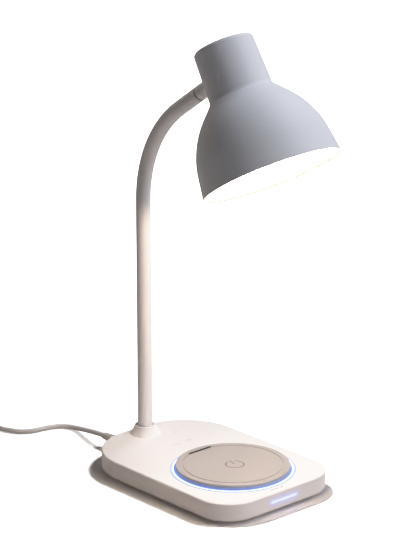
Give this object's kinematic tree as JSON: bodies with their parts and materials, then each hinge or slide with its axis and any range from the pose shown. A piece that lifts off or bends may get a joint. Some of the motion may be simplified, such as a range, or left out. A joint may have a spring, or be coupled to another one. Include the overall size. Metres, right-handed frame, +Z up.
{
  "type": "desk lamp with charging pad base",
  "caption": "Desk lamp with a bell shade on a bent tube, a turning post, a tilting head and a slim base with a round charging pad.",
  "frame": {"origin": "on the desk below the middle of the base body", "axes": "+Z up, -Y toward the front of the base (the pad and the light bar), +X to the lamp's left as seen from behind the post"},
  "size_m": [0.2303, 0.3952, 0.3892],
  "materials": {
    "shell_plastic": "fine matte, warm white",
    "pad_plastic": "soft-touch matte, warm grey",
    "light_guide": "frosted clear, lit cool white",
    "reflector_plastic": "milky white",
    "natural_plastic": "unpainted moulding",
    "circuit_board": "green solder mask",
    "white_board": "white solder mask",
    "copper_winding": "enamelled wire",
    "ferrite": "pressed, dull",
    "zinc_steel": "zinc plated",
    "brass_bush": "turned",
    "bare_aluminium": "bare",
    "arm_paint": "satin warm white",
    "shade_paint": "fine matte, light cool grey",
    "dark_rubber": "matte",
    "cord_sheath": "smooth, light grey",
    "dark_window": "smoked, satin"
  },
  "bodies": {
    "base": {"base_shell": "shell_plastic", "bottom_cover": "shell_plastic", "rubber_feet": "dark_rubber", "cover_screws": "zinc_steel", "ballast_plate": "zinc_steel", "pad_cover": "pad_plastic", "pad_window": "dark_window", "ring_light_guide": "light_guide", "ring_led_board": "circuit_board", "pad_carrier": "natural_plastic", "carrier_screws": "zinc_steel", "charging_coil": "copper_winding", "coil_ferrite": "ferrite", "control_board": "circuit_board", "board_screws": "zinc_steel", "touch_springs": "zinc_steel", "light_bar_lens": "light_guide", "light_bar_board": "circuit_board", "post_bush": "natural_plastic", "post_foot_pad": "natural_plastic", "cord_relief": "cord_sheath", "power_cord": "cord_sheath", "cord_coil": "cord_sheath", "coil_tie": "dark_rubber", "cord_tail": "cord_sheath", "adapter_body": "shell_plastic", "adapter_blades": "brass_bush", "adapter_relief": "cord_sheath"},
    "arm": {"arm_tube": "arm_paint", "post_nut": "zinc_steel", "thrust_washer": "zinc_steel", "arm_lead": "cord_sheath", "arm_end_bush": "brass_bush"},
    "neck": {"neck_knuckle": "arm_paint", "spigot_clip": "zinc_steel"},
    "head": {"shade_shell": "shade_paint", "inner_reflector": "reflector_plastic", "diffuser": "reflector_plastic", "led_board": "white_board", "heat_sink": "bare_aluminium", "head_screws": "zinc_steel", "hinge_bracket": "zinc_steel", "bracket_screws": "zinc_steel", "hinge_pin": "zinc_steel", "hinge_nut": "zinc_steel", "hinge_washers": "natural_plastic"}
  },
  "joints": [
    {"name": "post_swivel", "type": "hinge", "parent": "base", "child": "arm", "pos_m": [0, 0.08, 0.02], "axis": [0, 0, 1], "range_deg": [-90, 90]},
    {"name": "neck_swivel", "type": "hinge", "parent": "arm", "child": "neck", "pos_m": [0, 0.00794, 0.33312], "axis": [0, -0.8339, 0.5519], "range_deg": [-90, 90]},
    {"name": "shade_tilt", "type": "hinge", "parent": "neck", "child": "head", "pos_m": [0, -0.03042, 0.35851], "axis": [-1, 0, 0], "range_deg": [-18, 22]}
  ]
}
